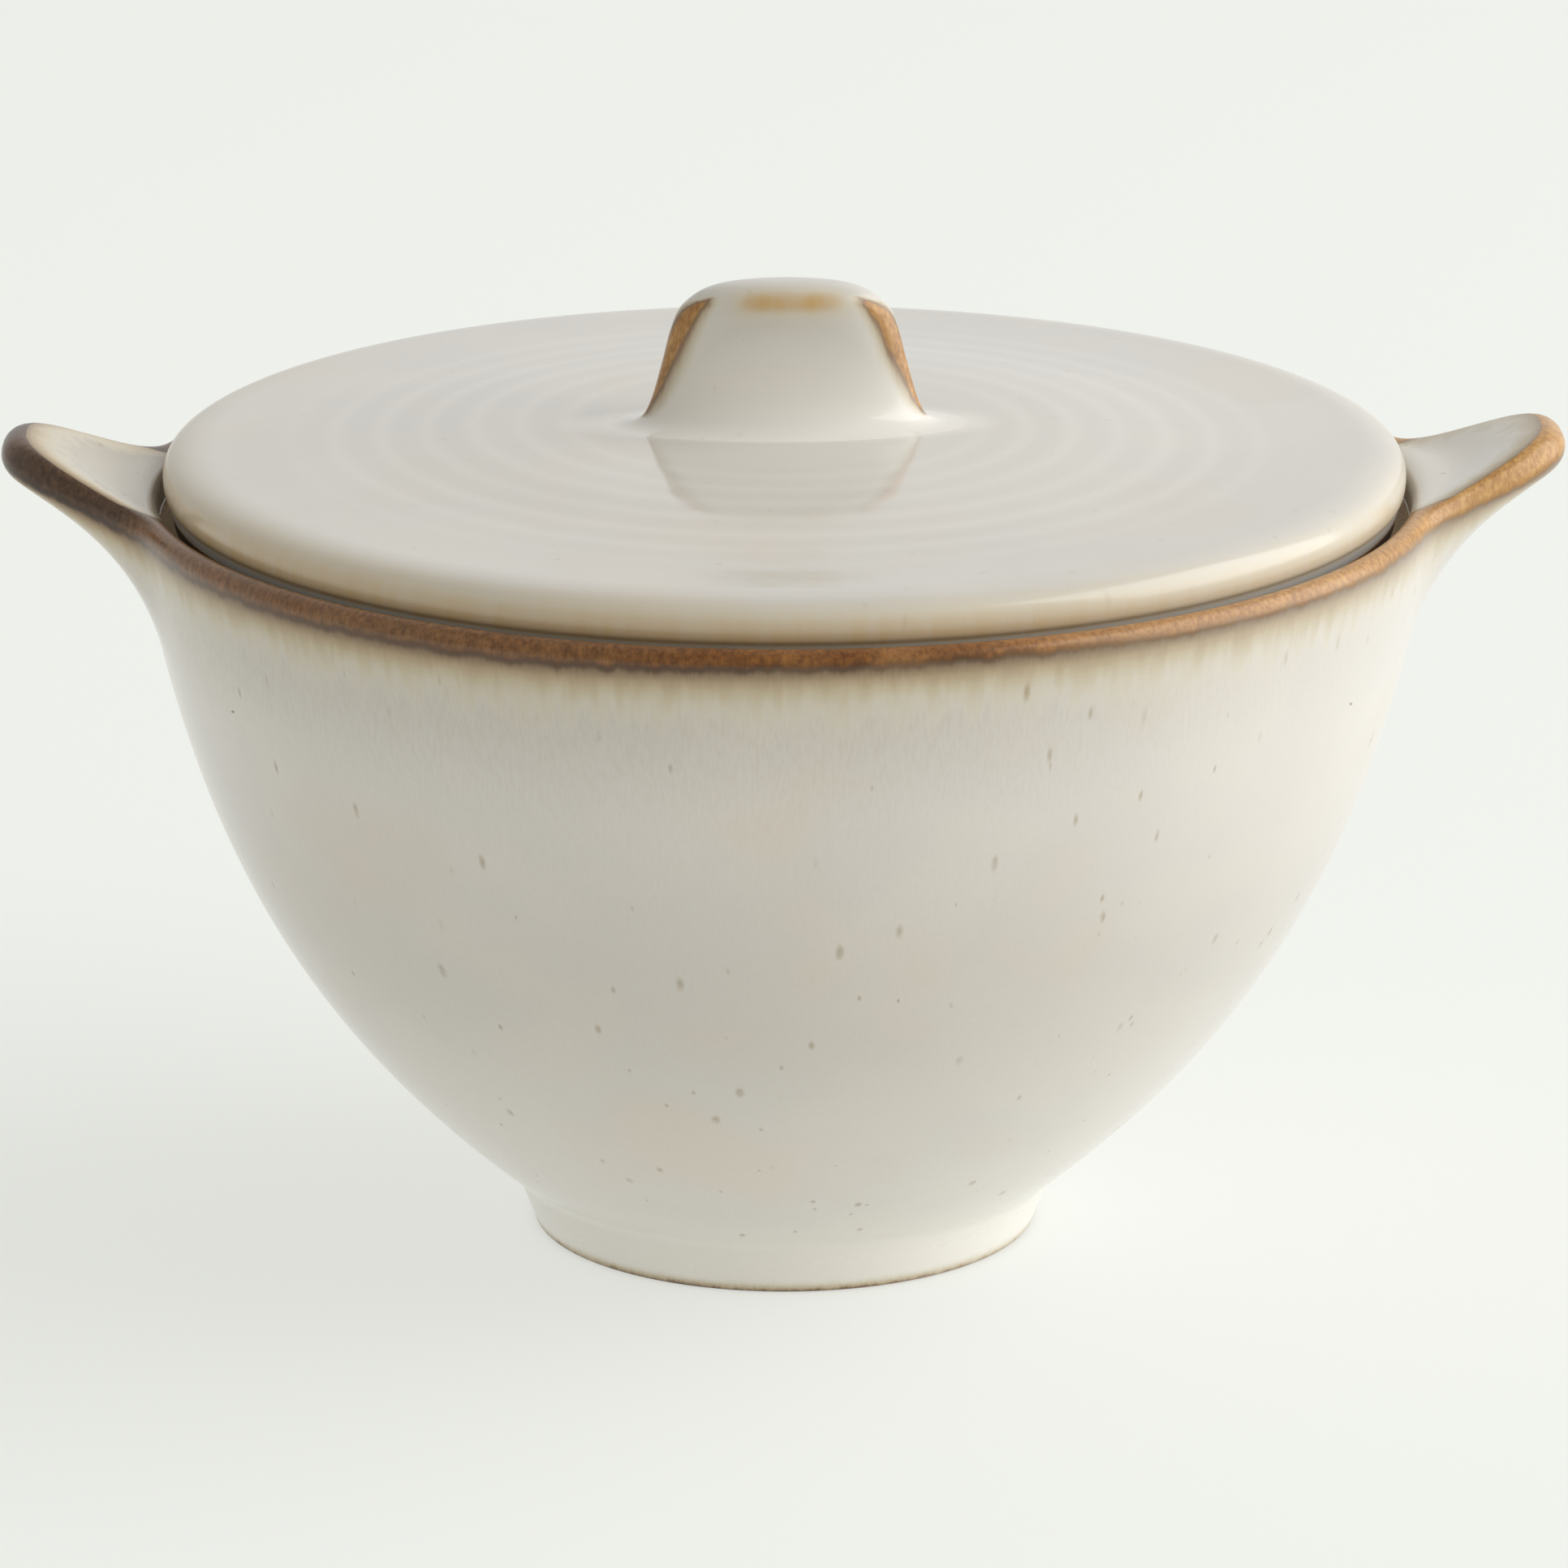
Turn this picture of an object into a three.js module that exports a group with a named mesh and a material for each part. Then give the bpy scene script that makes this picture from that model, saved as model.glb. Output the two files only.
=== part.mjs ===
// Covered casserole dish in glazed stoneware: a thrown bowl on a turned foot ring with two pulled
// ear handles, and a flat recessed lid with a locating flange and a pinched tab knob.
// Millimetres, +Z up. Z is the bowl's axis, the ears lie along X and the table is z = 0.
import * as THREE from 'three';

// Bowl
const RIM_RADIUS = 86.6;
const RIM_HEIGHT = 102.5;
const WALL = 5.6;
const FLOOR = 6.2;
const FLOOR_FILLET_SHARE = 0.8;
const BELLY_LOW = { out: 0.62, up: 0.27 };
const BELLY_HIGH = { out: 0.13, up: 0.45 };

// Rim lip and the gallery ledge that carries the lid
const LIP_THICKNESS = 3.4;
const LIP_ROUND = 2.0;
const LEDGE_DEPTH = 4.2;
const LEDGE_WIDTH = 5.5;
const LEDGE_NOSE = 1.3;
const LEDGE_SUPPORT = 12;

// Foot ring
const FOOT_RADIUS = 36.3;
const FOOT_HEIGHT = 7.1;
const FOOT_WIDTH = 7.4;
const FOOT_TAPER = 2.3;
const FOOT_EDGE = 0.9;

// Ear handles: how far they stand out from the rim, rise above it and reach down the wall
const EAR_REACH = 17.2;
const EAR_RISE = 8;
const EAR_DROP = 18;
const EAR_THICKNESS = 5.6;
const EAR_SPREAD = THREE.MathUtils.degToRad(9);
const EAR_FALLOFF = 2.85;
const EAR_END_REACH = 1.4;
const EAR_BEND = { out: 0.22, up: 0.5 };

// Lid
const LID_CLEARANCE = 0.7;
const LID_PLATE_THICKNESS = 6.4;
const LID_STANDING = 5.5;
const LID_BEVEL = 6.3;
const LID_DOME = 2.3;
const LID_DOME_BEND = { out: 0.5, up: 0.75 };
const LID_BEVEL_BEND = { out: 0.75, up: 0.83 };
const FLANGE_CLEARANCE = 1.0;
const FLANGE_WIDTH = 4.6;
const FLANGE_DEPTH = 8.3;

// Knob
const KNOB_HEIGHT = 19.2;
const KNOB_BASE_LENGTH = 38.4;
const KNOB_TOP_LENGTH = 27;
const KNOB_BASE_WIDTH = 17;
const KNOB_WAIST_WIDTH = 8.4;
const KNOB_TOP_WIDTH = 9.4;
const KNOB_CROWN = 4.2;
const KNOB_FLARE = 7;
const KNOB_SQUARENESS = 0.8;
const KNOB_CROWN_SLOPE = 0.8;
const KNOB_SEAT_MARGIN = 1.5;

// Fineness of the faceted solids
const TURN_STEPS = 60;
const WALL_STEPS = 9;
const ROUND_STEPS = 4;
const EAR_TURN_STEPS = 14;
const KNOB_RING_POINTS = 24;
const KNOB_LEVELS = 8;

// Gap that keeps a luted piece clear of the curved wall it is joined to
const JOIN_GAP = 0.3;

// Sizes that follow from the ones above
const lipInnerRadius = RIM_RADIUS - LIP_THICKNESS;
const ledgeHeight = RIM_HEIGHT - LEDGE_DEPTH;
const ledgeInnerRadius = lipInnerRadius - LEDGE_WIDTH;
const floorHeight = FOOT_HEIGHT + FLOOR;
const lidRadius = lipInnerRadius - LID_CLEARANCE;
const lidEdgeHeight = RIM_HEIGHT + LID_STANDING;
const lidCentreHeight = lidEdgeHeight + LID_DOME;
const flangeRadius = ledgeInnerRadius - FLANGE_CLEARANCE;
const flangeInnerRadius = flangeRadius - FLANGE_WIDTH;
const knobSeatRadius = KNOB_BASE_LENGTH / 2 + KNOB_SEAT_MARGIN;

const point = (radius, height) => new THREE.Vector2(radius, height);

// Outside of the bowl's wall, from the foot ring's shoulder up to the start of the rounded lip
function outerWallCurve() {
  const rise = RIM_HEIGHT - LIP_ROUND - FOOT_HEIGHT;
  const spread = RIM_RADIUS - FOOT_RADIUS;
  const top = RIM_HEIGHT - LIP_ROUND;
  return new THREE.CubicBezierCurve(
    point(FOOT_RADIUS, FOOT_HEIGHT),
    point(FOOT_RADIUS + BELLY_LOW.out * spread, FOOT_HEIGHT + BELLY_LOW.up * rise),
    point(RIM_RADIUS - BELLY_HIGH.out * spread, top - BELLY_HIGH.up * rise),
    point(RIM_RADIUS, top),
  );
}

const wallCurve = outerWallCurve();

// The wall's inner face: the outer curve set in by the wall's thickness
function innerWallPoint(t) {
  const outside = wallCurve.getPoint(t);
  const along = wallCurve.getTangent(t);
  return point(outside.x - WALL * along.y, outside.y + WALL * along.x);
}

// The place along the wall curve where a given measure first reaches a value
function findOnWall(measure, value) {
  let low = 0;
  let high = 1;
  for (let step = 0; step < 40; step += 1) {
    const middle = (low + high) / 2;
    if (measure(middle) < value) low = middle;
    else high = middle;
  }
  return (low + high) / 2;
}

// Radius of the bowl's outside at a height
function wallRadius(height) {
  const clamped = Math.min(height, RIM_HEIGHT - LIP_ROUND);
  return wallCurve.getPoint(findOnWall((t) => wallCurve.getPoint(t).y, clamped)).x;
}

// A closed solid of revolution about Z; the profile runs bottom to top on its outside
function turned(profile, steps = TURN_STEPS) {
  const geometry = new THREE.LatheGeometry(profile, steps);
  geometry.rotateX(Math.PI / 2);
  return geometry;
}

// A closed solid through rings of equal length, each end closed by a strip zipped across its ring
function lofted(rings) {
  const count = rings[0].length;
  const positions = rings.flat().flatMap((corner) => corner.toArray());
  const faces = [];
  for (let ring = 0; ring + 1 < rings.length; ring += 1) {
    for (let i = 0; i < count; i += 1) {
      const a = ring * count + i;
      const b = ring * count + ((i + 1) % count);
      faces.push(a, b, b + count, a, b + count, a + count);
    }
  }
  const last = (rings.length - 1) * count;
  for (let i = 0; i < count / 2; i += 1) {
    const far = (count - i) % count;
    const next = count - i - 1;
    if (next > i + 1) {
      faces.push(next, i + 1, i);
      faces.push(last + i, last + i + 1, last + next);
    }
    if (far > i && next > i) {
      faces.push(far, next, i);
      faces.push(last + i, last + next, last + far);
    }
  }
  const geometry = new THREE.BufferGeometry();
  geometry.setAttribute('position', new THREE.Float32BufferAttribute(positions, 3));
  geometry.setIndex(faces);
  return geometry;
}

function bowlBody() {
  const outside = wallCurve.getPoints(WALL_STEPS);
  const lip = new THREE.EllipseCurve(
    RIM_RADIUS - LIP_THICKNESS / 2, RIM_HEIGHT - LIP_ROUND, LIP_THICKNESS / 2, LIP_ROUND, 0, Math.PI,
  ).getPoints(2 * ROUND_STEPS);
  const nose = new THREE.EllipseCurve(
    ledgeInnerRadius + LEDGE_NOSE, ledgeHeight - LEDGE_NOSE, LEDGE_NOSE, LEDGE_NOSE, Math.PI / 2, Math.PI,
  ).getPoints(ROUND_STEPS);
  const highest = findOnWall((t) => innerWallPoint(t).y, ledgeHeight - LEDGE_SUPPORT);
  const lowest = findOnWall((t) => innerWallPoint(t).y, floorHeight + 2 * FLOOR);
  const inside = [];
  for (let step = 0; step <= WALL_STEPS; step += 1) {
    inside.push(innerWallPoint(highest + (lowest - highest) * (step / WALL_STEPS)));
  }
  // The wall runs into the flat floor through a fillet with equal arms
  const fillet = inside.at(-1);
  const slope = wallCurve.getTangent(lowest);
  const corner = point(fillet.x - (fillet.y - floorHeight) * (slope.x / slope.y), floorHeight);
  const arm = Math.min(fillet.distanceTo(corner), FLOOR_FILLET_SHARE * corner.x);
  const floor = new THREE.QuadraticBezierCurve(fillet, corner, point(corner.x - arm, floorHeight));
  const profile = [
    point(0, FOOT_HEIGHT),
    ...outside,
    ...lip.slice(1),
    point(lipInnerRadius, ledgeHeight),
    ...nose,
    ...inside,
    ...floor.getPoints(ROUND_STEPS).slice(1),
    point(0, floorHeight),
  ];
  return turned(profile);
}

function footRing() {
  const inner = FOOT_RADIUS - FOOT_WIDTH;
  return turned([
    point(inner, FOOT_HEIGHT),
    point(inner + FOOT_TAPER / 2, FOOT_EDGE),
    point(inner + FOOT_TAPER / 2 + FOOT_EDGE, 0),
    point(FOOT_RADIUS - FOOT_TAPER - FOOT_EDGE, 0),
    point(FOOT_RADIUS - FOOT_TAPER, FOOT_EDGE),
    point(FOOT_RADIUS, FOOT_HEIGHT),
    point(inner, FOOT_HEIGHT),
  ]);
}

// How far the ear stands out of the rim at an angle from the X axis
function earReach(angle) {
  return EAR_REACH * Math.exp(-((Math.abs(angle) / EAR_SPREAD) ** EAR_FALLOFF));
}

// The ear's section in the radial plane at an angle: underside sweep, round edge, top, then wall face
function earSection(angle) {
  const share = earReach(angle) / EAR_REACH;
  const edgeRadius = Math.min(EAR_THICKNESS, earReach(angle)) / 2;
  const tip = RIM_RADIUS + earReach(angle);
  const topHeight = RIM_HEIGHT - LIP_ROUND / 4;
  const edgeHeight = topHeight + EAR_RISE * share - edgeRadius;
  const rootHeight = RIM_HEIGHT - EAR_DROP * Math.sqrt(share);
  const root = point(wallRadius(rootHeight) + JOIN_GAP, rootHeight);
  const underEdge = point(tip - edgeRadius, edgeHeight - edgeRadius);
  const bend = point(
    root.x + EAR_BEND.out * (tip - root.x),
    rootHeight + EAR_BEND.up * (underEdge.y - rootHeight),
  );
  const underside = new THREE.QuadraticBezierCurve(root, bend, underEdge).getPoints(2 * ROUND_STEPS);
  const edge = new THREE.EllipseCurve(
    tip - edgeRadius, edgeHeight, edgeRadius, edgeRadius, -Math.PI / 2, Math.PI / 2,
  ).getPoints(ROUND_STEPS + 1);
  const outline = [...underside, ...edge.slice(1), point(RIM_RADIUS + JOIN_GAP, topHeight)];
  for (let step = 1; step < ROUND_STEPS; step += 1) {
    const height = topHeight + (rootHeight - topHeight) * (step / ROUND_STEPS);
    outline.push(point(wallRadius(height) + JOIN_GAP, height));
  }
  return outline;
}

function earHandle(side) {
  const widest = EAR_SPREAD * Math.log(EAR_REACH / EAR_END_REACH) ** (1 / EAR_FALLOFF);
  const rings = [];
  for (let step = 0; step <= EAR_TURN_STEPS; step += 1) {
    const angle = widest * (1 - (2 * step) / EAR_TURN_STEPS);
    const along = side * Math.cos(angle);
    const across = side * Math.sin(angle);
    rings.push(earSection(angle).map(({ x, y }) => new THREE.Vector3(x * along, x * across, y)));
  }
  return lofted(rings);
}

function lidPlate() {
  const dome = new THREE.QuadraticBezierCurve(
    point(lidRadius - LID_BEVEL, lidEdgeHeight),
    point(LID_DOME_BEND.out * lidRadius, lidEdgeHeight + LID_DOME_BEND.up * LID_DOME),
    point(knobSeatRadius, lidCentreHeight),
  ).getPoints(ROUND_STEPS);
  const bevel = new THREE.QuadraticBezierCurve(
    point(lidRadius, RIM_HEIGHT),
    point(
      lidRadius - (1 - LID_BEVEL_BEND.out) * LID_BEVEL,
      RIM_HEIGHT + LID_BEVEL_BEND.up * LID_STANDING,
    ),
    point(lidRadius - LID_BEVEL, lidEdgeHeight),
  ).getPoints(ROUND_STEPS);
  const ceiling = lidEdgeHeight - LID_PLATE_THICKNESS;
  return turned([
    point(0, ceiling + LID_DOME / 2),
    point(flangeInnerRadius - WALL, ceiling),
    point(flangeInnerRadius, ledgeHeight),
    point(lidRadius - LID_CLEARANCE, ledgeHeight),
    point(lidRadius, ledgeHeight + LID_CLEARANCE),
    ...bevel,
    ...dome.slice(1),
    point(0, lidCentreHeight),
  ]);
}

function lidLocatingFlange() {
  const low = ledgeHeight - FLANGE_DEPTH;
  const soft = FLANGE_WIDTH / 4;
  return turned([
    point(flangeInnerRadius, ledgeHeight),
    point(flangeInnerRadius, low + soft),
    point(flangeInnerRadius + soft, low),
    point(flangeRadius - soft, low),
    point(flangeRadius, low + soft),
    point(flangeRadius, ledgeHeight),
    point(flangeInnerRadius, ledgeHeight),
  ]);
}

// One level of the knob: an oval of given length and width, a little square at its ends
function knobRing(length, width, height) {
  const ring = [];
  for (let i = 0; i < KNOB_RING_POINTS; i += 1) {
    const angle = (i / KNOB_RING_POINTS) * 2 * Math.PI;
    const x = Math.sign(Math.cos(angle)) * Math.abs(Math.cos(angle)) ** KNOB_SQUARENESS;
    const y = Math.sign(Math.sin(angle)) * Math.abs(Math.sin(angle)) ** KNOB_SQUARENESS;
    ring.push(new THREE.Vector3((x * length) / 2, (y * width) / 2, height));
  }
  return ring;
}

function lidKnob() {
  const rings = [];
  const shoulder = KNOB_HEIGHT - KNOB_CROWN;
  for (let level = 0; level <= KNOB_LEVELS; level += 1) {
    const up = level / KNOB_LEVELS;
    const flare = Math.max(0, 1 - (up * shoulder) / KNOB_FLARE) ** 2;
    const waist = THREE.MathUtils.lerp(KNOB_WAIST_WIDTH, KNOB_TOP_WIDTH, up);
    const width = waist + (KNOB_BASE_WIDTH - waist) * flare;
    const length = THREE.MathUtils.lerp(KNOB_BASE_LENGTH, KNOB_TOP_LENGTH, up);
    rings.push(knobRing(length, width, lidCentreHeight + up * shoulder));
  }
  for (let step = 1; step < ROUND_STEPS; step += 1) {
    const angle = (step / ROUND_STEPS) * (Math.PI / 2);
    const shrink = KNOB_TOP_WIDTH * (1 - Math.cos(angle));
    const height = lidCentreHeight + shoulder + KNOB_CROWN * Math.sin(angle);
    rings.push(knobRing(KNOB_TOP_LENGTH - shrink, KNOB_TOP_WIDTH - KNOB_CROWN_SLOPE * shrink, height));
  }
  rings.push(knobRing(KNOB_TOP_LENGTH / 2, KNOB_TOP_WIDTH / 4, lidCentreHeight + KNOB_HEIGHT));
  return lofted(rings);
}

function glazed(name, color) {
  return new THREE.MeshStandardMaterial({ name, color, roughness: 0.22, metalness: 0 });
}

function piece(name, geometry, material) {
  const mesh = new THREE.Mesh(geometry, material);
  mesh.name = name;
  return mesh;
}

const bowl = new THREE.Group();
bowl.add(
  piece('bowl_body', bowlBody(), glazed('bowl_glaze', 0xdcd8cf)),
  piece('foot_ring', footRing(), glazed('foot_glaze', 0xd6d0c4)),
  piece('ear_handle_left', earHandle(-1), glazed('ear_glaze', 0xd9cfc0)),
  piece('ear_handle_right', earHandle(1), glazed('ear_glaze', 0xd9cfc0)),
);

const lid = new THREE.Group();
lid.add(
  piece('lid_plate', lidPlate(), glazed('lid_glaze', 0xdedbd8)),
  piece('lid_locating_flange', lidLocatingFlange(), glazed('flange_clay', 0xcfc6b6)),
  piece('lid_knob', lidKnob(), glazed('knob_glaze', 0xdbd7d2)),
);

const casseroleDish = new THREE.Group();
casseroleDish.add(bowl, lid);

export default casseroleDish;
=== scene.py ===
"""Looks for the covered casserole dish: reactive stoneware glaze that breaks brown over every edge.

The vessel and the lid are each built as one continuous skin in polar rows, then parted into closed
pieces (bowl, foot, ears; plate, flange, knob) that share their border vertices and normals, as luted
clay does. Sizes are in millimetres unless a comment says metres; meshes are written in metres.
"""

import math

import bpy
import numpy as np
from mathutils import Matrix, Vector


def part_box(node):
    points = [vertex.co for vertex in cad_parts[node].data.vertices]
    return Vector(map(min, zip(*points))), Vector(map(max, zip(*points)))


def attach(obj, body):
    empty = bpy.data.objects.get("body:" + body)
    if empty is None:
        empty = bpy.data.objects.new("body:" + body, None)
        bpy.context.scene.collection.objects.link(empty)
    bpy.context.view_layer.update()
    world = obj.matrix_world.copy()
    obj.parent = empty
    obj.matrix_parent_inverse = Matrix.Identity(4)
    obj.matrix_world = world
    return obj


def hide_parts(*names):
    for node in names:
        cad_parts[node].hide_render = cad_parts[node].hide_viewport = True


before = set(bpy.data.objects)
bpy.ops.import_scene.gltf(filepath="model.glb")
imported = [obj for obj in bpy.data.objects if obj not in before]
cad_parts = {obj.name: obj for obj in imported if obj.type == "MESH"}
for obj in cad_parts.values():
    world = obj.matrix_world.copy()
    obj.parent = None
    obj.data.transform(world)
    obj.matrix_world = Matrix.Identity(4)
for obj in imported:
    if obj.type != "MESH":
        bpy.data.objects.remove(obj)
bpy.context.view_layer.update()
MM = 0.001


def cad_mm(node):
    """Lowest and highest corner of a CAD node in millimetres."""
    low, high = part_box(node)
    return np.array(low) / MM, np.array(high) / MM


# ---------------------------------------------------------------- sizes

BOWL_LOW, BOWL_HIGH = cad_mm("bowl_body")
PLATE_LOW, PLATE_HIGH = cad_mm("lid_plate")
RIM_RADIUS = BOWL_HIGH[1]
RIM_HEIGHT = BOWL_HIGH[2]
FOOT_HEIGHT = BOWL_LOW[2]
FOOT_RADIUS = cad_mm("foot_ring")[1][1]
EAR_TIP = cad_mm("ear_handle_right")[1][0]
LID_RADIUS = PLATE_HIGH[1]
LID_CENTRE_HEIGHT = PLATE_HIGH[2]
LEDGE_HEIGHT = PLATE_LOW[2]
FLANGE_RADIUS = cad_mm("lid_locating_flange")[1][1]
FLANGE_LOW = cad_mm("lid_locating_flange")[0][2]
KNOB_TOP = cad_mm("lid_knob")[1][2]

# Bowl
WALL = 5.6
FLOOR_HEIGHT = FOOT_HEIGHT + 6.2
LIP_THICKNESS = 3.4
LIP_ROUND = 2.0
LIP_INNER = RIM_RADIUS - LIP_THICKNESS
LEDGE_INNER = LIP_INNER - 5.5
LEDGE_NOSE = 1.3
# Handles of the outer wall's curve at its low and high end, as shares of its spread and rise
BELLY_LOW = (0.62, 0.27)
BELLY_HIGH = (0.13, 0.45)

# Foot ring
FOOT_BOTTOM_OUTER = 33.2
FOOT_BOTTOM_INNER = 30.9
FOOT_ROUND = 0.9
SHOULDER_RISE = 1.7

# Ears: half width as an angle, how squarely that ends, how much faster the height falls, and the
# part of the wall that counts as ear
EAR_SPREAD = math.radians(9.4)
EAR_FALLOFF = 3.0
EAR_HEIGHT_FALLOFF = 1.14
EAR_PATCH = math.radians(30)
EAR_ROOT_HEIGHT = RIM_HEIGHT - 20.0
EAR_EDGE_RADIUS = 2.7
EAR_EDGE_HEIGHT = RIM_HEIGHT + 4.7
EAR_REACH = EAR_TIP + 0.1

# Lid
LID_EDGE_HEIGHT = LID_CENTRE_HEIGHT - 2.3
LID_THICKNESS = 6.4
LID_BEVEL = 6.3
# Relative steepness of the top's fall by radius: flat by the knob, steepest a little past halfway
SLOPE_RADII = (0, 24, 30, 36, 42, 46, 48, 50, 55, 60, 65, 70, 76.7)
SLOPES = (0, 0.002, 0.020, 0.042, 0.070, 0.092, 0.096, 0.094, 0.074, 0.057, 0.042, 0.028, 0.012)
SEAT_OUTER = LID_RADIUS - 1.4
FLANGE_INNER = FLANGE_RADIUS - 4.6
FLANGE_ROUND = 1.3
FLANGE_TAPER = 0.4

# Knob: its crown is a little higher than the flat one in the frame
CROWN_RISE = 0.4
KNOB_HEIGHT = KNOB_TOP + CROWN_RISE - LID_CENTRE_HEIGHT
KNOB_FOOT_LENGTH = 24.5
KNOB_FOOT_WIDTH = 10.5

# Mesh fineness; the patch rows are those of an ear's underside, edge, top and roll into the lip
EAR_STEP = math.radians(0.75)
PLAIN_STEP = math.radians(1.5)
PATCH_ROWS = (34, 13, 16, 9)
LID_COLUMNS = 288
LID_TOP_ROWS = 96
KNOB_ROWS = 62

# break_mm for the painted shade in the gap between lid and rim, where the colour is at its darkest
GAP_SHADE_MM = -9.0
# break_mm for a point of the lid that is far from any edge
FAR_MM = 50.0


# ---------------------------------------------------------------- curves

def bezier(p0, p1, p2, p3, count):
    """Points on a cubic from p0 to p3, both ends included."""
    t = np.linspace(0, 1, count)[:, None]
    a, b, c, d = (np.array(p, float) for p in (p0, p1, p2, p3))
    return (1 - t) ** 3 * a + 3 * (1 - t) ** 2 * t * b + 3 * (1 - t) * t**2 * c + t**3 * d


def arc(centre, radius_r, radius_z, start, end, count):
    """Points on an ellipse arc in the (r, z) plane, angles in degrees."""
    angle = np.radians(np.linspace(start, end, count))
    return np.stack([centre[0] + radius_r * np.cos(angle), centre[1] + radius_z * np.sin(angle)], 1)


def line(start, end, count):
    """Points on a straight line, both ends included."""
    return np.linspace(start, end, count)


def spline(points, count):
    """count points on a smooth curve through the given ones, even in the first two columns' chord."""
    points = np.array(points, float)
    padded = np.vstack([2 * points[0] - points[1], points, 2 * points[-1] - points[-2]])
    chords = np.linalg.norm(np.diff(points[:, :2], axis=0), axis=1)
    knots = np.concatenate([[0], np.cumsum(chords)])
    at = np.linspace(0, knots[-1], count)
    span = np.clip(np.searchsorted(knots, at, "right") - 1, 0, len(points) - 2)
    t = ((at - knots[span]) / chords[span])[:, None]
    p0, p1, p2, p3 = (padded[span + i] for i in range(4))
    return 0.5 * (2 * p1 + (p2 - p0) * t + (2 * p0 - 5 * p1 + 4 * p2 - p3) * t**2
                  + (3 * p1 - p0 - 3 * p2 + p3) * t**3)


def smooth_step(low, high, x):
    """0 below low, 1 above high, smooth between."""
    t = np.clip((x - low) / (high - low), 0, 1)
    return t * t * (3 - 2 * t)


def arc_lengths(outline):
    """Length along an outline up to each of its points."""
    return np.concatenate([[0], np.cumsum(np.linalg.norm(np.diff(outline, axis=0), axis=1))])


def evenly(outline, count):
    """count points on an outline, even in length."""
    lengths = arc_lengths(outline)
    at = np.linspace(0, lengths[-1], count)
    return np.stack([np.interp(at, lengths, outline[:, i]) for i in (0, 1)], 1)


def unit_steps(outline):
    """The direction along an outline at each of its points."""
    along = np.gradient(outline, axis=0)
    return along / np.linalg.norm(along, axis=1)[:, None]


def set_in(outline, depth):
    """An outline moved to its left by depth."""
    along = unit_steps(outline)
    return outline + depth * np.stack([-along[:, 1], along[:, 0]], 1)


def joined(stretches):
    """One outline from stretches that share their end points."""
    return np.vstack([stretches[0]] + [s[1:] for s in stretches[1:]])


def row_count(stretches):
    """How many rows the stretches take once joined, less the one they start on."""
    return sum(len(s) - 1 for s in stretches)


# ---------------------------------------------------------------- skins and pieces

class Skin:
    """A smooth surface of (rows, columns) points round the Z axis, with a value per point for each
    glaze attribute. Rows run from the underside's centre out, up and back in to the axis, so normals
    point out of the clay."""

    def __init__(self, points, values):
        self.points = points
        self.values = values
        along_rows = np.gradient(points, axis=0)
        along_columns = np.roll(points, -1, 1) - np.roll(points, 1, 1)
        normals = np.cross(along_columns, along_rows)
        length = np.linalg.norm(normals, axis=2, keepdims=True)
        self.normals = normals / np.maximum(length, 1e-12)
        # A pole is a row whose columns are all the same point
        self.poles = {row for row in range(len(points)) if np.ptp(points[row], axis=0).max() < 1e-9}
        for row in self.poles:
            near = 1 if row == 0 else row - 1
            mean = self.normals[near].mean(0)
            self.normals[row] = mean / np.linalg.norm(mean)


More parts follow.
